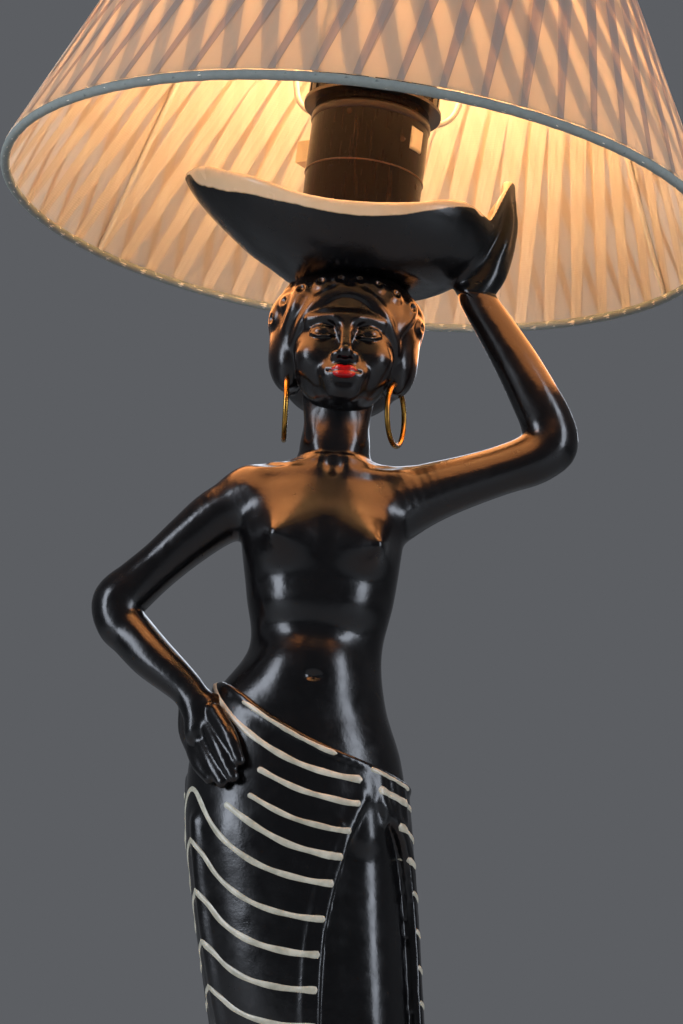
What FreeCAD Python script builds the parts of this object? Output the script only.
import FreeCAD, Part

import math
import os
import re

import Sketcher

# Figural table lamp: a slip-cast, glazed ceramic standing figure that carries a leaf-shaped bowl on
# its head. A switched bayonet lampholder stands in the bowl and clamps a ribbon-covered cone shade.
# Millimetres, +Z up, the figure faces -Y. The origin is on the floor, under the centre of the
# shade's bottom ring. The lampholder and the shade lean a little, as the fired bowl does: they are
# drawn about their own upright axis, with its zero in the plane of the shade's bottom ring, and
# then placed on the leaning fitting axis.

os.makedirs("parts", exist_ok=True)
doc = FreeCAD.newDocument("figural_table_lamp")
sizes = doc.addObject("Spreadsheet::Sheet", "Sizes")
values = {}


def size(alias, value, note):
    """Write one driving dimension into the sheet."""
    row = len(values) + 1
    sizes.set(f"A{row}", alias)
    sizes.set(f"B{row}", str(value))
    sizes.setAlias(f"B{row}", alias)
    sizes.set(f"C{row}", note)
    values[alias] = value


# ---------------------------------------------------------------- driving dimensions
SIZES = [
    # general
    ("felt_height", 2, "baize under the plinth"),
    ("felt_inset", 1.5, "baize inside the plinth's edge"),
    ("wall", 4.5, "slip-cast wall of the figure"),
    ("running_gap", 0.08, "radial clearance where one piece turns or slides in another"),
    ("seat_gap", 0.05, "clearance between flat faces that move on each other"),
    ("soft_gap", 0.3, "clearance round pieces that only lie near each other"),
    # plinth
    ("plinth_width", 100, "oval plinth along X"),
    ("plinth_depth", 84, "oval plinth along Y"),
    ("plinth_height", 12, "plinth without its baize"),
    ("plinth_x", 10, "plinth's middle"),
    ("plinth_wall", 6, "plinth's side wall"),
    ("plinth_top", 4, "plinth's top wall"),
    ("plinth_round", 3, "rounding of the plinth's top edge"),
    ("cord_way", 12, "radius of the way up from the plinth into the figure"),
    ("foot_length", 36, "bare foot along Y"),
    ("foot_width", 15, "bare foot along X"),
    ("foot_rise", 10, "instep above the plinth"),
    ("toe_room", 4, "plinth in front of the toes"),
    ("foot_spacing", 19, "between the two feet"),
    # cord inlet in the plinth's back
    ("inlet_bore", 3.4, "radius of the cord hole in the bush"),
    ("inlet_body", 4.5, "radius of the bush in the plinth's wall"),
    ("inlet_flange", 5.2, "radius of the bush's flange"),
    ("inlet_lip", 1.6, "thickness of the bush's flange"),
    ("inlet_height", 5.6, "bush's axis above the baize"),
    # sarong: slanted top edge, slit
    ("cloth", 1.2, "how far the sarong stands proud of the body"),
    ("edge_rise", 24, "sarong's top edge above the hip, on the navel line"),
    ("edge_x", -6, "where that height is measured"),
    ("edge_fall", 0.49, "how far the top edge falls for each millimetre towards the right hip"),
    ("slit_step", 3, "depth of the slit below the sarong's surface"),
    ("slit_top_x", 12, "slit's top"),
    ("slit_top_drop", 20, "slit's top under the sarong's edge at the navel line"),
    ("slit_wide_drop", 36, "where the slit is fully open, under its top"),
    ("slit_left", 3, "slit's left side where it is fully open"),
    ("slit_right", 26, "slit's right side where it is fully open"),
    ("slit_hem_left", 0, "slit's left side at the hem"),
    ("slit_hem_right", 34, "slit's right side at the hem"),
    # neck
    ("neck_x", -4.5, "neck's middle"),
    ("neck_y", 1, "neck's middle"),
    ("neck_foot", 15.5, "radius where the neck leaves the collar bones"),
    ("neck_radius", 11.3, "neck"),
    ("neck_flare", 8, "height over which the neck narrows"),
    ("neck_length", 9, "neck above that"),
    # head
    ("head_x", -3, "head's middle"),
    ("head_y", 1, "head's middle"),
    ("head_rise", 32, "middle of the skull above the top of the neck"),
    ("skull_width", 54, "head with its hair, along X"),
    ("skull_depth", 58, "head with its hair, along Y"),
    ("skull_height", 44, "head with its hair, if it ran on under the bowl"),
    ("crown", 18, "flat seat of the bowl above the middle of the skull"),
    ("jaw_width", 36, "lower face"),
    ("jaw_depth", 34, "lower face"),
    ("jaw_height", 38, "lower face"),
    ("jaw_drop", 10, "middle of the lower face under the middle of the skull"),
    ("jaw_y", -9, "middle of the lower face before the middle of the head"),
    ("nape_width", 44, "hair at the nape"),
    ("nape_depth", 22, "hair at the nape"),
    ("nape_height", 34, "hair at the nape"),
    ("nape_drop", 10, "middle of the nape hair under the middle of the skull"),
    ("nape_y", 15, "middle of the nape hair behind the middle of the head"),
    ("lobe_spacing", 38, "between the two ear lobes"),
    ("lobe_y", -6, "ear lobes before the middle of the head"),
    ("lobe_drop", 18.5, "hole of the ear lobe under the middle of the skull"),
    ("lobe_width", 7, "ear lobe along X"),
    ("lobe_length", 5, "ear lobe along Y"),
    ("lobe_height", 14, "ear lobe along Z"),
    # ear-rings
    ("hoop_radius", 10.6, "ear-ring, to the middle of its wire"),
    ("hoop_wire", 0.9, "radius of the ear-ring's wire"),
    ("hoop_turn", 19, "degrees that the right ear-ring is turned outwards"),
    # bowl
    ("bowl_wall", 5, "wall of the bowl"),
    ("rim_low", 14, "lowest point of the bowl's rim above its seat on the head"),
    ("rim_radius", 81, "radius of the sweep of the rim, seen from the front"),
    ("rim_x", -4, "lowest point of the rim along X"),
    # fitting axis
    ("ring_rise", 25, "plane of the shade's bottom ring above the bowl's seat"),
    ("lean", 4.2, "degrees that the lampholder and the shade lean towards +X"),
    ("floor_drop", 17, "bowl's floor under the shade's bottom ring"),
    ("floor_wall", 6.9, "thickness of the bowl's floor"),
    ("floor_radius", 23, "levelled floor inside the bowl"),
    ("nipple_radius", 5, "threaded tube through the bowl's floor"),
    ("nipple_bore", 3.5, "hole through that tube"),
    ("nipple_tail", 7, "tube under the bowl's floor"),
    ("nipple_head", 9, "tube above the bowl's floor"),
    ("nut_height", 3.5, "nut under the bowl's floor"),
    ("nut_corner", 8.1, "nut, from its middle to a corner"),
    ("nut_room", 10.5, "radius of the room for the nut in the head"),
    ("washer_radius", 9, "washer on the bowl's floor"),
    ("washer_height", 1.2, "washer on the bowl's floor"),
    # lampholder
    ("cup_height", 35.8, "lampholder's lower cup"),
    ("cup_foot", 20.2, "radius of the cup at its foot"),
    ("holder_radius", 20.9, "radius of the lampholder's body"),
    ("holder_wall", 2.6, "wall of the cup"),
    ("cup_floor", 3.6, "bottom of the cup"),
    ("body_height", 17, "visible height of the lampholder's body"),
    ("shoulder", 1, "chamfer at the top of the body"),
    ("spigot", 6, "body's spigot inside the cup"),
    ("spigot_wall", 2.4, "wall of that spigot"),
    ("collar_radius", 20.3, "neck's collar, on which the shade's washer lies"),
    ("collar_height", 2, "neck's collar"),
    ("thread_radius", 19.3, "neck's thread"),
    ("thread_height", 12, "neck's thread"),
    ("neck_wall", 2.4, "wall of the neck"),
    ("carrier_height", 5.5, "terminal carrier"),
    ("ledge", 1.9, "inward ledge on which the terminal carrier lies"),
    ("barrel_wall", 1.2, "bayonet barrel"),
    ("barrel_flange", 1, "foot of the bayonet barrel"),
    ("barrel_height", 22, "bayonet barrel"),
    ("bar_turn", -37, "direction of the switch bar, in degrees from +X"),
    ("bar_width", 6.6, "switch bar"),
    ("bar_height", 8.2, "switch bar"),
    ("bar_lift", 3, "switch bar above the foot of the body"),
    ("bar_out", 9, "how far its rear end sticks out"),
    ("bar_flush", 0.5, "how far its front end sticks out"),
    ("bar_round", 1.2, "rounding of the bar's ends"),
    ("contact_spacing", 12.6, "between the two plungers"),
    ("plunger_radius", 2.3, "contact plunger"),
    ("plunger_height", 6.6, "contact plunger"),
    ("spring_height", 3.9, "room of a plunger's spring"),
    ("spring_wire", 0.35, "radius of the spring's wire"),
    ("block_width", 6, "terminal block across the bar"),
    ("block_length", 8, "terminal block along the bar"),
    ("block_height", 7.5, "terminal block"),
    ("block_spacing", 20.5, "between the two terminal blocks"),
    ("screw_radius", 1.6, "terminal screw's head"),
    ("screw_head", 1.2, "terminal screw's head"),
    ("blade_length", 16, "switch's contact blade"),
    ("blade_width", 4, "switch's contact blade"),
    ("blade_height", 0.4, "switch's contact blade"),
    # bulb
    ("cap_radius", 11, "bayonet cap"),
    ("cap_height", 21, "bayonet cap"),
    ("cap_metal", 0.4, "bayonet cap's metal"),
    ("cap_play", 0.4, "cap in the barrel"),
    ("insulator", 2.6, "black glass in the cap's end"),
    ("pad_radius", 2, "solder contact"),
    ("pad_height", 0.3, "solder contact"),
    ("pin_radius", 1, "bayonet pin"),
    ("pin_reach", 2.3, "bayonet pin outside the cap"),
    ("pin_rise", 7.6, "bayonet pin above the contacts"),
    ("pin_turn", 24, "direction of one pin, in degrees from +X"),
    ("lock_turn", 22, "degrees that the bulb turns to lock"),
    ("press", 2.5, "how far the bulb goes down before it turns"),
    ("glass", 0.8, "bulb's glass"),
    ("bulb_radius", 27.5, "bulb"),
    ("bulb_rise", 50, "middle of the bulb above its cap"),
    ("bulb_neck", 9, "glass inside the cap"),
    ("stem_radius", 3, "glass stem inside the bulb"),
    ("stem_height", 36, "glass stem inside the bulb"),
    ("filament_radius", 9, "arc of the filament"),
    ("filament_wire", 0.4, "radius of the coiled filament"),
    # shade
    ("shade_low", 125, "radius of the bottom ring, to the middle of its wire"),
    ("shade_high", 60, "radius of the top ring, to the middle of its wire"),
    ("shade_height", 150, "from ring to ring"),
    ("ring_wire", 1.5, "radius of the ring's wire"),
    ("tape", 0.6, "thickness of the tape round the rings"),
    ("strut_wire", 1.0, "radius of the struts"),
    ("strut_turn", 21.3, "direction of one strut, in degrees from +X"),
    ("cover", 0.8, "two layers of ribbon"),
    ("cover_gap", 0.1, "between the struts and the ribbon"),
    ("cover_foot", 2.3, "ribbon above the bottom ring"),
    ("cover_head", 1.5, "ribbon under the top ring"),
    ("spider_radius", 24.5, "washer of the shade's spider"),
    ("spider_plate", 1.2, "washer of the shade's spider"),
    ("arm_wire", 1.1, "radius of the spider's arms"),
    ("arm_reach", 31.5, "where an arm turns upwards"),
    ("arm_bend", 12, "radius of that bend"),
    ("arm_beside", 5, "degrees from a strut to the arm beside it"),
    ("nut_ring_radius", 23.4, "clamp ring"),
    ("nut_ring_height", 7.5, "clamp ring"),
    ("grip_radius", 1.1, "grip notches round the clamp ring"),
]
for alias, value, note in SIZES:
    size(alias, value, note)

# The trunk is lofted through ovals. Each one stands a given rise above the one before it:
# name, rise, middle in x, middle in y, width, depth
TRUNK = [
    ("hem", 0, 11, 0, 63, 56),
    ("ankle", 30, 9, 0, 62, 54),
    ("shin", 30, 6.5, -1, 62.5, 52),
    ("calf", 30, 3, -1, 64.5, 51),
    ("knee", 30, -1.8, -2, 68, 51),
    ("thigh", 31, -6.5, -1, 71.5, 52),
    ("hip", 30, -10, 0, 73, 54),
    ("haunch", 20, -11.3, 1, 69, 51),
    ("belly", 17, -12, 1, 59, 44),
    ("waist", 18, -7.3, 0, 44.6, 34),
    ("ribs", 18, -6.6, -1, 50, 37),
    ("bust", 18, -7, -3, 56, 44),
    ("shoulder_line", 16, -7, 0, 60, 34),
    ("collar_bone", 11, -6, 1, 38, 26),
]
for name, rise, x, y, width, depth in TRUNK:
    size(f"{name}_rise", rise, f"{name} above the oval before it")
    size(f"{name}_x", x, f"middle of the {name}")
    size(f"{name}_y", y, f"middle of the {name}")
    size(f"{name}_width", width, f"{name} along X")
    size(f"{name}_depth", depth, f"{name} along Y")

# The bowl is lofted along X through upright ovals: name, x, lowest point above the seat,
# half width along Y, half height
BOWL = [
    ("left_tip", -61, 33, 4, 3.5),
    ("left_end", -52, 24.5, 22, 10.5),
    ("left_bilge", -38, 12, 33.5, 16),
    ("left_floor", -20, -0.5, 39.5, 22.5),
    ("middle", 0, -4, 41, 25),
    ("right_floor", 20, -2.5, 37, 26),
    ("right_bilge", 35, 3.5, 29.5, 26),
    ("right_end", 45, 12, 21, 17),
    ("right_tip", 53, 24, 11, 8.5),
]
for name, x, low, half_width, half_height in BOWL:
    size(f"bowl_{name}_x", x, f"bowl's oval at its {name}")
    size(f"bowl_{name}_low", low, f"bowl's underside at its {name}, above the seat")
    size(f"bowl_{name}_half", half_width, f"half width at the {name}")
    size(f"bowl_{name}_tall", half_height, f"half height at the {name}")

# Both arms are chains of round stations: name, x, y, height above the shoulder line, radius
HIP_ARM = [
    ("shoulder", -35, 1, -1, 11.5),
    ("deltoid", -46, 2, -9, 10),
    ("biceps", -59, 4, -20.5, 8.8),
    ("elbow", -75, 7, -37.5, 9.2),
    ("forearm", -66, 1, -50, 8),
    ("lower_forearm", -55.5, -7, -62, 6.8),
    ("wrist", -49, -12, -70, 5.7),
    ("palm", -45, -17, -81, 7.2),
]
RAISED_ARM = [
    ("shoulder", 17, 1, -2, 13.5),
    ("deltoid", 31, 1, 6.5, 10.3),
    ("biceps", 47, 2, 13, 9),
    ("elbow", 70, 4, 25.5, 9.8),
    ("forearm", 64.5, 2, 40, 8.8),
    ("lower_forearm", 54.5, 0, 57, 7.6),
    ("wrist", 42.5, -2, 76.5, 6),
    ("palm", 48, -2, 89, 7.3),
    ("knuckles", 50.5, -1, 101, 5.8),
]
for arm, stations in (("hip_arm", HIP_ARM), ("raised_arm", RAISED_ARM)):
    for name, x, y, height, radius in stations:
        size(f"{arm}_{name}_x", x, f"{name} of the {arm}")
        size(f"{arm}_{name}_y", y, f"{name} of the {arm}")
        size(f"{arm}_{name}_up", height, f"{name} above the shoulder line")
        size(f"{arm}_{name}_radius", radius, f"{name} of the {arm}")
size("joint_swell", 0.25, "how far an arm's round stations stand out between its straight lengths")
size("finger_radius", 2.7, "fingers")
size("finger_spacing", 4.4, "from finger to finger")
size("finger_length", 17, "fingers of the hand on the hip")
size("finger_up", 17.5, "fingers of the raised hand, over the end of the bowl")
size("finger_out", 1.8, "those fingers outside the middle of the knuckles")
doc.recompute()


# ---------------------------------------------------------------- formulas and placing
def full(formula):
    """The formula as an expression that reads the sheet."""
    return re.sub(r"[a-z_]+", lambda word: f"Sizes.{word[0]}" if word[0] in values else word[0], formula)


def number(formula):
    """The formula's present value, for shapes that are worked out in this file."""
    plain = re.sub(r"[a-z_]+", lambda word: f"({values[word[0]]})" if word[0] in values else word[0], formula)
    return FreeCAD.Units.Quantity(plain).Value


def bind(item, **formulas):
    for name, formula in formulas.items():
        item.setExpression(name, full(formula))
    return item


def place(item, x="0", y="0", z="0", axis="0; 0; 1", angle="0"):
    item.setExpression("Placement", full(
        f"placement(vector({x}; {y}; {z}); rotation(vector({axis}); {angle}))"))
    return item


def on_fitting(item):
    """Stand the piece, drawn about the Z axis, on the leaning fitting axis."""
    return place(item, z=RING_HEIGHT, axis="0; 1; 0", angle="lean")


def solid(kind, name, at=None, **formulas):
    item = bind(doc.addObject(f"Part::{kind}", name), **formulas)
    return place(item, **at) if at else item


def cylinder(name, radius, height, **at):
    return solid("Cylinder", name, at, Radius=radius, Height=height)


def box(name, length, width, height, **at):
    return solid("Box", name, at, Length=length, Width=width, Height=height)


def ellipsoid(name, width, depth, height, **at):
    item = solid("Ellipsoid", name, at, Radius1=f"({height}) / 2", Radius2=f"({width}) / 2",
                 Radius3=f"({depth}) / 2")
    item.Angle1 = -90
    item.Angle2 = 90
    return item


def cut(name, base, *tools):
    item = doc.addObject("Part::Cut", name)
    item.Base = base
    item.Tool = tools[0] if len(tools) == 1 else fuse(f"{name}_tools", *tools)
    return item


def fuse(name, *pieces):
    item = doc.addObject("Part::MultiFuse", name)
    item.Shapes = list(pieces)
    return item


def common(name, *pieces):
    item = doc.addObject("Part::MultiCommon", name)
    item.Shapes = list(pieces)
    return item


def together(name, pieces):
    """Several separate solids in one node."""
    item = doc.addObject("Part::Compound", name)
    item.Links = list(pieces)
    return item


def loft(name, sections):
    item = doc.addObject("Part::Loft", name)
    item.Sections = sections
    item.Solid = True
    item.Ruled = False
    return item


def sketch_outline(body, role, points):
    """A closed outline of straight lines, each corner at its two formulas."""
    sketch = body.newObject("Sketcher::SketchObject", f"{body.Name}_outline")
    plane = [item for item in body.Origin.OriginFeatures if item.Role == role][0]
    sketch.AttachmentSupport = [(plane, "")]
    sketch.MapMode = "FlatFace"
    corners = [FreeCAD.Vector(number(u), number(v), 0) for u, v in points]
    count = len(corners)
    for index, corner in enumerate(corners):
        sketch.addGeometry(Part.LineSegment(corner, corners[(index + 1) % count]))
    for index in range(count):
        sketch.addConstraint(Sketcher.Constraint("Coincident", index, 2, (index + 1) % count, 1))
    for index, (corner, formulas) in enumerate(zip(corners, points)):
        for kind, value, formula in zip(("DistanceX", "DistanceY"), corner, formulas):
            place_in_list = sketch.addConstraint(Sketcher.Constraint(kind, -1, 1, index, 1, value))
            if formula != "0":
                sketch.setExpression(f"Constraints[{place_in_list}]", full(formula))
    return sketch


def revolved(name, points):
    """A turned piece: the outline, given as radius and height, goes once round the Z axis."""
    body = doc.addObject("PartDesign::Body", name)
    sketch = sketch_outline(body, "XZ_Plane", points)
    turn = body.newObject("PartDesign::Revolution", f"{name}_turn")
    turn.Profile = sketch
    turn.ReferenceAxis = (sketch, ["V_Axis"])
    turn.Angle = 360
    body.Tip = turn
    return body


def plate_across(name, points, reach):
    """A prism across the figure: the outline lies in XZ, the prism goes as far to -Y as to +Y."""
    body = doc.addObject("PartDesign::Body", name)
    sketch = sketch_outline(body, "XZ_Plane", points)
    pad = body.newObject("PartDesign::Pad", f"{name}_pad")
    pad.Profile = sketch
    pad.Midplane = True
    bind(pad, Length=reach)
    body.Tip = pad
    return body


def oval(name, width, depth, x, y, z):
    item = bind(doc.addObject("Part::Ellipse", name), MajorRadius=f"({width}) / 2",
                MinorRadius=f"({depth}) / 2")
    return place(item, x, y, z)


def oval_slab(name, width, depth, height, x, z):
    item = doc.addObject("Part::Extrusion", name)
    item.Base = oval(f"{name}_outline", width, depth, x, "0", z)
    item.Dir = FreeCAD.Vector(0, 0, 1)
    item.DirMode = "Custom"
    item.Solid = True
    return bind(item, LengthFwd=height)


def ring_of(name, radius, wire, z="0"):
    return solid("Torus", name, dict(z=z), Radius1=radius, Radius2=wire)


parts = []


def part(item, label):
    item.Label = label
    parts.append(item)
    return item


# ---------------------------------------------------------------- heights up the figure
FLOOR = "felt_height"
PLINTH_TOP = "felt_height + plinth_height"
HEIGHT = {}
level = PLINTH_TOP
for name, *_ in TRUNK:
    level = f"{level} + {name}_rise"
    HEIGHT[name] = level
NECK_TOP_LEVEL = f"{HEIGHT['collar_bone']} + neck_flare + neck_length"
SKULL = f"{NECK_TOP_LEVEL} + head_rise"
SEAT = f"{SKULL} + crown"
RING_HEIGHT = f"{SEAT} + ring_rise"
FIGURE_WIDE = "plinth_width * 3"
FIGURE_TALL = "shade_height * 3"


def trunk_loft(name, first, last, grow):
    """The trunk from one named oval to another, grown or shrunk all round."""
    names = [row[0] for row in TRUNK]
    chosen = names[names.index(first):names.index(last) + 1]
    return loft(name, [
        oval(f"{name}_{station}", f"{station}_width + 2 * ({grow})", f"{station}_depth + 2 * ({grow})",
             f"{station}_x", f"{station}_y", HEIGHT[station]) for station in chosen])


# ---------------------------------------------------------------- baize, plinth, feet, cord inlet
part(oval_slab("Felt", "plinth_width - 2 * felt_inset", "plinth_depth - 2 * felt_inset", "felt_height",
               "plinth_x", "0"), "base_felt")

plinth_block = oval_slab("Plinth_block", "plinth_width", "plinth_depth", "plinth_height", "plinth_x", FLOOR)
doc.recompute()
top_edge = max(range(len(plinth_block.Shape.Edges)),
               key=lambda index: plinth_block.Shape.Edges[index].BoundBox.ZMin) + 1
plinth_rounded = doc.addObject("Part::Fillet", "Plinth_rounded")
plinth_rounded.Base = plinth_block
plinth_rounded.Edges = [(top_edge, number("plinth_round"), number("plinth_round"))]
FEET_Y = "0 - (plinth_depth / 2 - toe_room - foot_length / 2)"
feet = [ellipsoid(f"Foot_{side}", "foot_width", "foot_length", "2 * foot_rise",
                  x=f"hem_x {sign} foot_spacing / 2", y=FEET_Y, z=PLINTH_TOP)
        for side, sign in (("left", "-"), ("right", "+"))]
plinth_hollow = oval_slab("Plinth_hollow", "plinth_width - 2 * plinth_wall", "plinth_depth - 2 * plinth_wall",
                          "plinth_height - plinth_top", "plinth_x", FLOOR)
way_up = cylinder("Way_up", "cord_way", "plinth_height + foot_rise", x="hem_x", z=FLOOR)
skirt_skin = trunk_loft("Skirt_skin", "hem", "waist", "cloth")
inlet_at = dict(x="plinth_x", y="plinth_depth / 2", z="felt_height + inlet_height", axis="1; 0; 0", angle="90")
inlet_hole = cylinder("Inlet_hole", "inlet_body + seat_gap", "plinth_wall * 3", **inlet_at)
part(cut("Plinth", fuse("Plinth_and_feet", plinth_rounded, *feet), plinth_hollow, way_up, inlet_hole,
         skirt_skin), "plinth_casting")

# The bush's outline has its zero at the outside of the plinth's wall; it is laid over to point at +Y.
bush = revolved("Bush", [
    ("inlet_bore", "0 - plinth_wall - inlet_lip"), ("inlet_body", "0 - plinth_wall - inlet_lip"),
    ("inlet_body", "0"), ("inlet_flange", "0"), ("inlet_flange", "inlet_lip"), ("inlet_bore", "inlet_lip")])
place(bush, x="plinth_x", y="plinth_depth / 2", z="felt_height + inlet_height", axis="1; 0; 0", angle="-90")
part(bush, "flex_grommet")

# ---------------------------------------------------------------- skirt and torso, met at the sarong's edge
def edge_height(x):
    return f"{HEIGHT['hip']} + edge_rise + (edge_x - ({x})) * edge_fall"


LEFT, RIGHT = "0 - plinth_width", "plinth_width"
above_edge = plate_across("Above_edge", [
    (LEFT, edge_height(LEFT)), (RIGHT, edge_height(RIGHT)), (RIGHT, FIGURE_TALL), (LEFT, FIGURE_TALL)],
    FIGURE_WIDE)
below_edge = plate_across("Below_edge", [
    (LEFT, "0"), (RIGHT, "0"), (RIGHT, edge_height(RIGHT)), (LEFT, edge_height(LEFT))], FIGURE_WIDE)

# The slit opens at the knot on the right thigh and widens down to the hem.
SLIT_TOP = f"{HEIGHT['hip']} + edge_rise - slit_top_drop"
slit_prism = plate_across("Slit_prism", [
    ("slit_top_x", SLIT_TOP), ("slit_left", f"{SLIT_TOP} - slit_wide_drop"), ("slit_hem_left", "0"),
    ("slit_hem_right", "0"), ("slit_right", f"{SLIT_TOP} - slit_wide_drop")], FIGURE_WIDE)
front_half = box("Front_half", FIGURE_WIDE, "plinth_depth", FIGURE_TALL,
                 x="0 - plinth_width", y="0 - plinth_depth")
leg_skin = trunk_loft("Leg_skin", "hem", "waist", "cloth - slit_step")
slit = cut("Slit", common("Slit_front", slit_prism, front_half), leg_skin)
skirt_hollow = trunk_loft("Skirt_hollow", "hem", "waist", "0 - wall - slit_step")
part(common("Skirt", cut("Skirt_shell", skirt_skin, skirt_hollow, slit), below_edge), "skirt_casting")

torso_skin = trunk_loft("Torso_skin", "hip", "collar_bone", "0")
torso_hollow = trunk_loft("Torso_hollow", "hip", "shoulder_line", "0 - wall")
neck_at = dict(x="neck_x", y="neck_y", z=HEIGHT["collar_bone"])
neck_flare = solid("Cone", "Neck_flare", neck_at, Radius1="neck_foot", Radius2="neck_radius",
                   Height="neck_flare")
neck = cylinder("Neck", "neck_radius", "neck_flare + neck_length", **neck_at)
throat = cylinder("Throat", "neck_radius - wall", "collar_bone_rise + neck_flare + neck_length", x="neck_x",
                  y="neck_y", z=HEIGHT["shoulder_line"])
torso_full = fuse("Torso_full", cut("Torso_shell", torso_skin, torso_hollow), neck_flare, neck)
part(common("Torso", cut("Torso_hollowed", torso_full, throat), above_edge), "torso_casting")

# ---------------------------------------------------------------- head, with its lobes for the ear-rings
HOLE_HEIGHT = f"{SKULL} - lobe_drop"
neck_stub = cylinder("Neck_stub", "neck_radius", "head_rise * 0.7", x="neck_x", y="neck_y", z=NECK_TOP_LEVEL)
skull = ellipsoid("Skull", "skull_width", "skull_depth", "skull_height", x="head_x", y="head_y", z=SKULL)
jaw = ellipsoid("Jaw", "jaw_width", "jaw_depth", "jaw_height", x="head_x", y="head_y + jaw_y",
                z=f"{SKULL} - jaw_drop")
nape = ellipsoid("Nape", "nape_width", "nape_depth", "nape_height", x="head_x", y="head_y + nape_y",
                 z=f"{SKULL} - nape_drop")
lobes = [ellipsoid(f"Lobe_{side}", "lobe_width", "lobe_length", "lobe_height",
                   x=f"head_x {sign} lobe_spacing / 2", y="head_y + lobe_y",
                   z=f"{HOLE_HEIGHT} + lobe_height / 2 - 3 * hoop_wire")
         for side, sign in (("left", "-"), ("right", "+"))]
SIDES = (("left", "-", "0"), ("right", "+", "hoop_turn"))


def hoop(side, sign, turn, wire):
    """The ear-ring's wire, hanging from the hole of its lobe."""
    upright = solid("Torus", f"Hoop_{side}_{len(doc.Objects)}", dict(axis="0; 1; 0", angle="90"),
                    Radius1="hoop_radius", Radius2=wire)
    turned = together(f"Hoop_{side}_turned_{len(doc.Objects)}", [upright])
    return place(turned, x=f"head_x {sign} lobe_spacing / 2", y="head_y + lobe_y",
                 z=f"{HOLE_HEIGHT} - hoop_radius", angle=f"0 - {turn}")


brain_case = ellipsoid("Brain_case", "skull_width - 2 * wall", "skull_depth - 2 * wall",
                       "skull_height - 2 * wall", x="head_x", y="head_y", z=SKULL)
neck_bore = cylinder("Neck_bore", "neck_radius - wall", "head_rise", x="neck_x", y="neck_y",
                     z=NECK_TOP_LEVEL)
nut_room = cylinder("Nut_room", "nut_room", "crown + 1", z=SKULL)
over_seat = box("Over_seat", FIGURE_WIDE, FIGURE_WIDE, FIGURE_TALL,
                x="0 - plinth_width * 1.5", y="0 - plinth_width * 1.5", z=SEAT)
lobe_holes = [hoop(side, sign, turn, "hoop_wire + soft_gap") for side, sign, turn in SIDES]
head_full = fuse("Head_full", neck_stub, skull, jaw, nape, *lobes)
part(cut("Head", head_full, brain_case, neck_bore, nut_room, over_seat, *lobe_holes), "head_casting")
for side, sign, turn in SIDES:
    part(hoop(side, sign, turn, "hoop_wire"), f"{side}_earring")

# ---------------------------------------------------------------- bowl
def bowl_loft(name, names, shrink):
    """The bowl's full body along X, its ovals made smaller by the wall for the hollow."""
    sections = []
    for station in names:
        item = doc.addObject("Part::Ellipse", f"{name}_{station}")
        tall, half = f"bowl_{station}_tall", f"bowl_{station}_half"
        bind(item, MajorRadius=f"{half} - {shrink}", MinorRadius=f"{tall} - {shrink}")
        # the ellipse's long side is turned to Y and its short side to Z
        place(item, x=f"bowl_{station}_x", z=f"{SEAT} + bowl_{station}_low + {tall}",
              axis="1; 1; 1", angle="120")
        sections.append(item)
    return loft(name, sections)


bowl_names = [row[0] for row in BOWL]
bowl_skin = bowl_loft("Bowl_skin", bowl_names, "0")
bowl_hollow = bowl_loft("Bowl_hollow", bowl_names[1:-1], "bowl_wall")
rim_sweep = cylinder("Rim_sweep", "rim_radius", FIGURE_WIDE, x="rim_x", y="plinth_width * 1.5",
                     z=f"{SEAT} + rim_low + rim_radius", axis="1; 0; 0", angle="90")
under_seat = box("Under_seat", FIGURE_WIDE, FIGURE_WIDE, "crown * 2",
                 x="0 - plinth_width * 1.5", y="0 - plinth_width * 1.5", z=f"{SEAT} - crown * 2")
above_floor = together("Above_floor", [cylinder("Above_floor_block", "plinth_width", "plinth_width",
                                                z="0 - floor_drop")])
on_fitting(above_floor)
nipple_hole = cylinder("Nipple_hole", "nipple_radius + soft_gap", "plinth_width", z="0 - plinth_width / 2")
nut_face = cylinder("Nut_face", "nut_room", "crown", z="0 - floor_drop - floor_wall - crown")
floor_face = cylinder("Floor_face", "floor_radius", "plinth_width", z="0 - floor_drop")
floor_work = on_fitting(together("Floor_work", [fuse("Floor_tools", nipple_hole, nut_face, floor_face)]))
bowl_body = cut("Bowl_body", bowl_skin, rim_sweep, under_seat)
part(cut("Bowl", bowl_body, common("Bowl_inside", bowl_hollow, above_floor), floor_work), "offering_bowl")

# ---------------------------------------------------------------- arms
def limb(stations):
    """Round stations joined by slightly slimmer cones: a list of a point and a radius each."""
    slimmer = values["joint_swell"]
    shapes = [Part.makeSphere(radius, point) for point, radius in stations]
    for (low, low_radius), (high, high_radius) in zip(stations, stations[1:]):
        along = high - low
        shapes.append(Part.makeCone(low_radius - slimmer, high_radius - slimmer, along.Length, low, along))
    return shapes


def arm_stations(arm, rows):
    shoulder = HEIGHT["shoulder_line"]
    return [(FreeCAD.Vector(values[f"{arm}_{name}_x"], values[f"{arm}_{name}_y"],
                            number(f"{shoulder} + {arm}_{name}_up")), values[f"{arm}_{name}_radius"])
            for name, *_ in rows]


def fingers(root, along, across, length):
    """Four fingers side by side from the root, tapering to their tips."""
    shapes = []
    radius = values["finger_radius"]
    for place_in_hand in (-1.5, -0.5, 0.5, 1.5):
        start = root + across * (place_in_hand * values["finger_spacing"])
        shorter = abs(place_in_hand - 0.5) * radius * 0.5
        tip = start + along * (length - shorter)
        shapes += limb([(start, radius), (tip, radius * 0.85)])
    return shapes


def arm_piece(name, shapes):
    item = doc.addObject("Part::Feature", name)
    item.Shape = shapes[0].multiFuse(shapes[1:]).removeSplitter()
    return item


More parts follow.
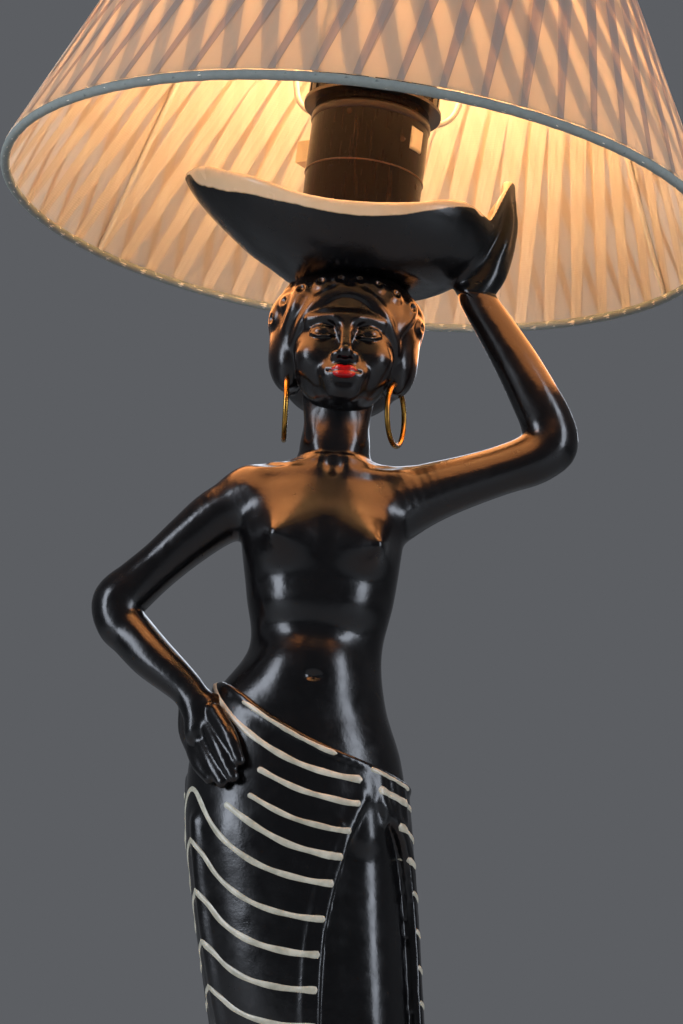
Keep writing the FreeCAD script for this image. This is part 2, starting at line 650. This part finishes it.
hip_stations = arm_stations("hip_arm", HIP_ARM)
hip_along = FreeCAD.Vector(0.56, -0.2, -0.8)
hip_across = FreeCAD.Vector(0.8, -0.25, 0.55)
hip_fingers = fingers(hip_stations[-1][0] + hip_along * 3, hip_along, hip_across, values["finger_length"])
hip_arm = arm_piece("Hip_arm_full", limb(hip_stations) + hip_fingers)
part(cut("Hip_arm", hip_arm, torso_skin, skirt_skin), "hip_arm")

raised_stations = arm_stations("raised_arm", RAISED_ARM)
raised_along = FreeCAD.Vector(0, 0, 1)
raised_root = raised_stations[-1][0] + FreeCAD.Vector(values["finger_out"], 0, 0)
raised_fingers = fingers(raised_root, raised_along, FreeCAD.Vector(0, 1, 0), values["finger_up"])
raised_arm = arm_piece("Raised_arm_full", limb(raised_stations) + raised_fingers)
part(cut("Raised_arm", raised_arm, torso_skin, bowl_body), "raised_arm")

# ---------------------------------------------------------------- threaded tube, nut and washer
FLOOR_LEVEL = "0 - floor_drop"
HOLDER_FOOT = f"{FLOOR_LEVEL} + washer_height"
part(on_fitting(revolved("Nipple", [
    ("nipple_bore", f"{FLOOR_LEVEL} - floor_wall - nipple_tail"),
    ("nipple_radius", f"{FLOOR_LEVEL} - floor_wall - nipple_tail"),
    ("nipple_radius", f"{FLOOR_LEVEL} + nipple_head"), ("nipple_bore", f"{FLOOR_LEVEL} + nipple_head")])),
    "brass_nipple")
nut_block = bind(doc.addObject("Part::Prism", "Nut_block"), Circumradius="nut_corner", Height="nut_height")
nut_block.Polygon = 6
place(nut_block, z=f"{FLOOR_LEVEL} - floor_wall - nut_height")
nut_thread = cylinder("Nut_thread", "nipple_radius + running_gap", "nut_height * 3",
                      z=f"{FLOOR_LEVEL} - floor_wall - nut_height * 2")
part(on_fitting(cut("Nut", nut_block, nut_thread)), "nipple_locknut")
part(on_fitting(revolved("Washer", [
    ("nipple_radius + soft_gap", FLOOR_LEVEL), ("washer_radius", FLOOR_LEVEL),
    ("washer_radius", HOLDER_FOOT), ("nipple_radius + soft_gap", HOLDER_FOOT)])), "floor_washer")

# ---------------------------------------------------------------- lampholder
SEAM = f"{HOLDER_FOOT} + cup_height"
BODY_TOP = f"{SEAM} + body_height"
COLLAR = f"{BODY_TOP} + shoulder"
THREAD = f"{COLLAR} + collar_height"
NECK_TOP = f"{THREAD} + thread_height"
CUP_INSIDE = "holder_radius - holder_wall"
SPIGOT = f"{CUP_INSIDE} - running_gap"
INSIDE = "thread_radius - neck_wall"
CARRIER = f"{COLLAR} - carrier_height"
BAR_FOOT = f"{SEAM} + bar_lift"

part(on_fitting(revolved("Cup", [
    ("nipple_radius + running_gap", HOLDER_FOOT), ("cup_foot", HOLDER_FOOT), ("holder_radius", f"{SEAM} - 2"),
    ("holder_radius", SEAM), (CUP_INSIDE, SEAM), (CUP_INSIDE, f"{SEAM} - spigot - 2"),
    ("cup_foot - holder_wall", f"{HOLDER_FOOT} + cup_floor"),
    ("nipple_radius + running_gap", f"{HOLDER_FOOT} + cup_floor")])), "holder_base_cup")

holder_turned = revolved("Holder_turned", [
    (f"{SPIGOT} - spigot_wall", f"{SEAM} - spigot"), (SPIGOT, f"{SEAM} - spigot"), (SPIGOT, SEAM),
    ("holder_radius", SEAM), ("holder_radius", BODY_TOP), ("collar_radius", COLLAR),
    ("collar_radius", THREAD), ("thread_radius", THREAD), ("thread_radius", NECK_TOP), (INSIDE, NECK_TOP),
    (INSIDE, CARRIER), (f"{INSIDE} - ledge", CARRIER), (f"{INSIDE} - ledge", f"{CARRIER} - ledge")])


def bar_block(name, grow, first, last):
    """The switch bar's room, drawn along X and turned to its direction."""
    block = box(f"{name}_block", f"({last}) - ({first})", f"bar_width + 2 * ({grow})",
                f"bar_height + 2 * ({grow})", x=first, y=f"0 - bar_width / 2 - ({grow})",
                z=f"{BAR_FOOT} - ({grow})")
    turned = together(f"{name}_turned", [block])
    return place(turned, angle="bar_turn")


bar_slots = bar_block("Bar_slots", "soft_gap", "0 - holder_radius * 2", "holder_radius * 2")
part(on_fitting(cut("Holder", holder_turned, bar_slots)), "holder_body")

bar_full = box("Bar_full", "2 * holder_radius + bar_out + bar_flush", "bar_width", "bar_height",
               x="0 - holder_radius - bar_out", y="0 - bar_width / 2", z=BAR_FOOT)
doc.recompute()
end_edges = [index + 1 for index, edge in enumerate(bar_full.Shape.Edges)
             if edge.BoundBox.XLength < 0.01]
bar_rounded = doc.addObject("Part::Fillet", "Bar_rounded")
bar_rounded.Base = bar_full
bar_rounded.Edges = [(index, number("bar_round"), number("bar_round")) for index in end_edges]
bar_turned = place(together("Bar_turned", [bar_rounded]), angle="bar_turn")
part(on_fitting(together("Bar", [bar_turned])), "switch_push_bar")

CONTACTS = f"{COLLAR} + plunger_height + 0.4"
PLUNGER_FOOT = f"{CONTACTS} - seat_gap - plunger_height"
SPRING_FOOT = f"{PLUNGER_FOOT} - spring_height"


def pair(name, make):
    """One copy on each side of the switch bar."""
    copies = []
    for side, sign in (("near", "0 - "), ("far", "")):
        copies.append(place(together(f"{name}_{side}", [make(f"{name}_{side}_piece", sign)]), angle="bar_turn"))
    return copies


wells = pair("Well", lambda name, sign: cylinder(name, "plunger_radius + soft_gap", "carrier_height * 2",
                                                y=f"{sign}contact_spacing / 2", z=SPRING_FOOT))
carrier_disc = cylinder("Carrier_disc", f"{INSIDE} - running_gap", "carrier_height", z=CARRIER)
part(on_fitting(cut("Carrier", carrier_disc, *wells)), "terminal_carrier")
part(on_fitting(together("Plungers", pair("Plunger", lambda name, sign: cylinder(
    name, "plunger_radius", "plunger_height", y=f"{sign}contact_spacing / 2", z=PLUNGER_FOOT)))),
    "contact_plungers")


def spring(name, sign):
    """A compression spring as one helix, from the foot of its well to the plunger."""
    wire, radius = values["spring_wire"], values["plunger_radius"] - values["spring_wire"]
    height = values["spring_height"] - 2 * wire
    path = Part.makeHelix(height / 3, height, radius)
    start = Part.Wire(Part.makeCircle(wire, FreeCAD.Vector(radius, 0, 0), FreeCAD.Vector(0, 1, 0)))
    coil = Part.Wire(path).makePipeShell([start], True, True)
    item = doc.addObject("Part::Feature", name)
    item.Shape = coil
    side = -1 if sign else 1
    item.Placement.Base = FreeCAD.Vector(0, side * values["contact_spacing"] / 2,
                                         number(f"{SPRING_FOOT} + spring_wire"))
    return item


part(on_fitting(together("Springs", pair("Spring", spring))), "plunger_springs")
part(on_fitting(together("Blocks", pair("Block", lambda name, sign: box(
    name, "block_length", "block_width", "block_height", x="0 - block_length / 2",
    y=f"{sign}block_spacing / 2 - block_width / 2", z=f"{CARRIER} - block_height")))), "terminal_blocks")


def terminal_screw(name, sign):
    turned = dict(angle="90") if sign else dict(angle="-90")
    outside = f"{sign}(block_spacing / 2 + block_width / 2)"
    return cylinder(name, "screw_radius", "screw_head", y=outside, z=f"{CARRIER} - block_height / 2",
                    axis="1; 0; 0", **turned)


part(on_fitting(together("Screws", pair("Screw", terminal_screw))), "terminal_screws")
blade = box("Blade_block", "blade_length", "blade_width", "blade_height", x="0 - blade_length / 2",
            y="0 - blade_width / 2", z=f"{CARRIER} - blade_height")
part(on_fitting(together("Blade", [place(together("Blade_turned", [blade]), angle="bar_turn")])),
     "switch_blade")

# The barrel has an L-shaped slot on each side, in which a pin of the bulb locks.
BARREL_INSIDE = "cap_radius + cap_play"
BARREL_TOP = f"{COLLAR} + barrel_height"
PIN_HEIGHT = f"{CONTACTS} + pin_rise"
barrel_tube = revolved("Barrel_tube", [
    (BARREL_INSIDE, COLLAR), (f"{INSIDE} - running_gap", COLLAR),
    (f"{INSIDE} - running_gap", f"{COLLAR} + barrel_flange"),
    (f"{BARREL_INSIDE} + barrel_wall", f"{COLLAR} + barrel_flange"),
    (f"{BARREL_INSIDE} + barrel_wall", BARREL_TOP), (BARREL_INSIDE, BARREL_TOP)])
SLOT_FOOT = f"{PIN_HEIGHT} - pin_radius - press - soft_gap"
slot_cuts = []
for side, turn in (("front", "180"), ("back", "0")):
    width = "2 * (pin_radius + soft_gap)"
    notch = box(f"Notch_{side}", "thread_radius", width, "press + 2 * (pin_radius + soft_gap)",
                y="0 - pin_radius - soft_gap", z=SLOT_FOOT)
    entry = box(f"Entry_{side}", "thread_radius", width, "barrel_height", y="0 - pin_radius - soft_gap",
                z=SLOT_FOOT)
    track = solid("Cylinder", f"Track_{side}", dict(z=SLOT_FOOT), Radius="thread_radius", Height=width,
                  Angle="lock_turn")
    turned_entry = place(together(f"Entry_{side}_turned", [entry]), angle="lock_turn")
    slot_cuts.append(place(fuse(f"Slot_{side}", notch, track, turned_entry), angle=f"pin_turn + {turn}"))
part(on_fitting(cut("Barrel", barrel_tube, *slot_cuts)), "bayonet_barrel")

# ---------------------------------------------------------------- bulb
CAP_FOOT = f"{CONTACTS} + pad_height"
CAP_INSIDE = "cap_radius - cap_metal"
CAP_TOP = f"{CAP_FOOT} + cap_height"
part(on_fitting(revolved("Cap", [
    (CAP_INSIDE, CAP_FOOT), ("cap_radius", CAP_FOOT), ("cap_radius", CAP_TOP), (CAP_INSIDE, CAP_TOP)])),
    "bulb_cap")
part(on_fitting(revolved("Insulator", [
    ("0", CAP_FOOT), (f"{CAP_INSIDE} - seat_gap", CAP_FOOT),
    (f"{CAP_INSIDE} - seat_gap", f"{CAP_FOOT} + insulator"), ("0", f"{CAP_FOOT} + insulator")])),
    "bulb_insulator")
part(on_fitting(together("Pads", pair("Pad", lambda name, sign: cylinder(
    name, "pad_radius", "pad_height", y=f"{sign}contact_spacing / 2", z=CONTACTS)))), "bulb_contacts")
pins = []
for side, turn in (("front", "180"), ("back", "0")):
    pin = cylinder(f"Pin_{side}", "pin_radius", "pin_reach", x="cap_radius", z=PIN_HEIGHT,
                   axis="0; 1; 0", angle="90")
    pins.append(place(together(f"Pin_{side}_turned", [pin]), angle=f"pin_turn + {turn}"))
pin_trim = cylinder("Pin_trim", "cap_radius", "cap_height", z=CAP_FOOT)
part(on_fitting(cut("Pins", together("Pins_full", pins), pin_trim)), "bulb_pins")

NECK_FOOT = f"{CAP_TOP} - bulb_neck"
BULB_MIDDLE = f"{CAP_TOP} + bulb_rise"


def bulb_form(name, inwards):
    """The bulb's outline as a ball, a cone and a straight neck, drawn inwards by the glass."""
    neck = f"{CAP_INSIDE} - seat_gap - {inwards}"
    ball = solid("Sphere", f"{name}_ball", dict(z=BULB_MIDDLE), Radius=f"bulb_radius - {inwards}")
    straight = cylinder(f"{name}_neck", neck, "bulb_neck + 2", z=NECK_FOOT)
    flare = solid("Cone", f"{name}_flare", dict(z=f"{CAP_TOP} + 2"), Radius1=neck,
                  Radius2=f"bulb_radius * 0.82 - {inwards}", Height="bulb_rise - 2 - bulb_radius * 0.55")
    return fuse(name, ball, straight, flare)


part(on_fitting(cut("Glass", bulb_form("Glass_skin", "0"), bulb_form("Glass_inside", "glass"))), "bulb_glass")
STEM_WIDE = f"{CAP_INSIDE} - seat_gap - glass - soft_gap"
part(on_fitting(revolved("Stem", [
    ("0", NECK_FOOT), (STEM_WIDE, NECK_FOOT), ("stem_radius", f"{NECK_FOOT} + bulb_neck"),
    ("stem_radius", f"{NECK_FOOT} + stem_height"), ("0", f"{NECK_FOOT} + stem_height")])), "bulb_stem")
filament_arc = solid("Torus", "Filament_arc", dict(z=f"{NECK_FOOT} + stem_height + filament_wire"),
                     Radius1="filament_radius", Radius2="filament_wire")
filament_arc.Angle3 = 300
filament_hooks = [cylinder(f"Hook_{index}", "filament_wire", "filament_radius",
                           z=f"{NECK_FOOT} + stem_height + filament_wire", axis=axis, angle="90")
                  for index, axis in enumerate(("0; 1; 0", "-1; 0; 0", "0; -1; 0"))]
part(on_fitting(fuse("Filament", filament_arc, *filament_hooks)), "bulb_filament")

# ---------------------------------------------------------------- clamp ring and spider
SPIDER = f"{THREAD} + seat_gap"
SPIDER_TOP = f"{SPIDER} + spider_plate"
CLAMP = f"{SPIDER_TOP} + seat_gap"
clamp_ring = doc.addObject("PartDesign::Body", "Clamp_ring")
clamp_outline = sketch_outline(clamp_ring, "XZ_Plane", [
    ("thread_radius + running_gap", CLAMP), ("nut_ring_radius", CLAMP),
    ("nut_ring_radius", f"{CLAMP} + nut_ring_height"),
    ("thread_radius + running_gap", f"{CLAMP} + nut_ring_height")])
clamp_turn = clamp_ring.newObject("PartDesign::Revolution", "Clamp_turn")
clamp_turn.Profile = clamp_outline
clamp_turn.ReferenceAxis = (clamp_outline, ["V_Axis"])
clamp_turn.Angle = 360
grip_sketch = clamp_ring.newObject("Sketcher::SketchObject", "Grip_outline")
grip_plane = [item for item in clamp_ring.Origin.OriginFeatures if item.Role == "XY_Plane"][0]
grip_sketch.AttachmentSupport = [(grip_plane, "")]
grip_sketch.MapMode = "FlatFace"
grip_sketch.addGeometry(Part.Circle(FreeCAD.Vector(number("nut_ring_radius"), 0, 0),
                                    FreeCAD.Vector(0, 0, 1), number("grip_radius")))
grip_sketch.addConstraint(Sketcher.Constraint("PointOnObject", 0, 3, -1))
grip_reach = grip_sketch.addConstraint(Sketcher.Constraint("DistanceX", -1, 1, 0, 3, number("nut_ring_radius")))
grip_sketch.setExpression(f"Constraints[{grip_reach}]", full("nut_ring_radius"))
grip_size = grip_sketch.addConstraint(Sketcher.Constraint("Radius", 0, number("grip_radius")))
grip_sketch.setExpression(f"Constraints[{grip_size}]", full("grip_radius"))
grip_cut = clamp_ring.newObject("PartDesign::Pocket", "Grip_cut")
grip_cut.Profile = grip_sketch
grip_cut.Type = "ThroughAll"
grip_cut.Midplane = True
doc.recompute()
grip_ring = clamp_ring.newObject("PartDesign::PolarPattern", "Grip_ring")
grip_ring.Originals = [grip_cut]
grip_ring.Axis = (grip_sketch, ["N_Axis"])
grip_ring.Angle = 360
grip_ring.Occurrences = 24
clamp_ring.Tip = grip_ring
part(on_fitting(clamp_ring), "shade_clamp_ring")

part(on_fitting(revolved("Spider_plate", [
    ("thread_radius + soft_gap", SPIDER), ("spider_radius", SPIDER), ("spider_radius", SPIDER_TOP),
    ("thread_radius + soft_gap", SPIDER_TOP)])), "spider_washer")

# ---------------------------------------------------------------- shade frame
low_ring = ring_of("Low_ring", "shade_low", "ring_wire")
high_ring = ring_of("High_ring", "shade_high", "ring_wire", "shade_height")
STRUTS = 6
ARMS = 3


def strut(index):
    """A straight strut from the bottom ring to the top ring, leaning inwards."""
    upright = cylinder(f"Strut_{index}_wire", "strut_wire", "sqrt((shade_low - shade_high)^2 + shade_height^2)")
    leaning = place(together(f"Strut_{index}_leaning", [upright]), x="shade_low", axis="0; 1; 0",
                    angle="-atan2(shade_low - shade_high; shade_height)")
    return place(together(f"Strut_{index}", [leaning]), angle=f"strut_turn + {index * 360 // STRUTS}")


def spider_arm(index):
    """A bent wire: out from the washer, then up to the top ring."""
    wire = values["arm_wire"]
    level = number(f"{SPIDER_TOP} + arm_wire")
    start = FreeCAD.Vector(number("nut_ring_radius + soft_gap + arm_wire"), 0, level)
    corner = FreeCAD.Vector(values["arm_reach"], 0, level)
    end = FreeCAD.Vector(values["shade_high"], 0, values["shade_height"])
    rising = (end - corner).normalize()
    outwards = FreeCAD.Vector(1, 0, 0)
    half_turn = math.acos(outwards.dot(rising)) / 2
    setback = values["arm_bend"] * math.tan(half_turn)
    arc_start = corner - outwards * setback
    arc_end = corner + rising * setback
    bisector = (rising - outwards).normalize()
    centre = corner + bisector * (values["arm_bend"] / math.cos(half_turn))
    arc_middle = centre - bisector * values["arm_bend"]
    start.x = min(start.x, arc_start.x - wire)
    path = Part.Wire([Part.LineSegment(start, arc_start).toShape(),
                      Part.Arc(arc_start, arc_middle, arc_end).toShape(),
                      Part.LineSegment(arc_end, end).toShape()])
    section = Part.Wire(Part.makeCircle(wire, start, outwards))
    item = doc.addObject("Part::Feature", f"Spider_arm_{index}_wire")
    item.Shape = path.makePipeShell([section], True, False)
    return place(together(f"Spider_arm_{index}", [item]),
                 angle=f"strut_turn + arm_beside + {index * 360 // ARMS}")


struts = [strut(index) for index in range(STRUTS)]
arms = [spider_arm(index) for index in range(ARMS)]
rings = fuse("Rings", low_ring, high_ring)
part(on_fitting(cut("Struts", together("Struts_full", struts), rings)), "shade_struts")
clamp_room = cylinder("Clamp_room", "nut_ring_radius + soft_gap", "nut_ring_height * 2", z=SPIDER_TOP)
part(on_fitting(cut("Spider_arms", together("Spider_arms_full", arms), rings, clamp_room)), "spider_arms")
part(on_fitting(together("Bottom_ring", [low_ring])), "shade_bottom_ring")
part(on_fitting(together("Top_ring", [high_ring])), "shade_top_ring")

frame_wires = fuse("Frame_wires", *struts, *arms)
for label, radius, z in (("bottom", "shade_low", "0"), ("top", "shade_high", "shade_height")):
    outside = ring_of(f"Tape_{label}_outside", radius, "ring_wire + tape", z)
    inside = ring_of(f"Tape_{label}_inside", radius, "ring_wire", z)
    part(on_fitting(cut(f"Tape_{label}", outside, inside, frame_wires)), f"{label}_ring_tape")


def cone_at(name, offset):
    """The shade's cone, outside the struts' middle line by an offset square to the slope."""
    slope = "sqrt((shade_low - shade_high)^2 + shade_height^2) / shade_height"
    taper = "(shade_low - shade_high) / shade_height"
    out = f"({offset}) * {slope}"
    return solid("Cone", name, dict(z="cover_foot"), Height="shade_height - cover_foot - cover_head",
                 Radius1=f"shade_low - cover_foot * {taper} + {out}",
                 Radius2=f"shade_high + cover_head * {taper} + {out}")


part(on_fitting(cut("Cover", cone_at("Cover_outside", "strut_wire + cover_gap + cover"),
                    cone_at("Cover_inside", "strut_wire + cover_gap"))), "ribbon_cover")

# ---------------------------------------------------------------- checks and writing
doc.recompute()
faults = [item.Label for item in doc.Objects if "Invalid" in item.State or "Error" in item.State]
faults += [item.Label for item in parts if item.Shape.isNull() or not item.Shape.isValid()]
if faults:
    raise RuntimeError("not made: " + ", ".join(faults))
for item in parts:
    item.Shape.exportStep(f"parts/{item.Label}.step")
    print(f"{item.Label}: {len(item.Shape.Solids)} solids, {item.Shape.Volume:.1f} mm3")
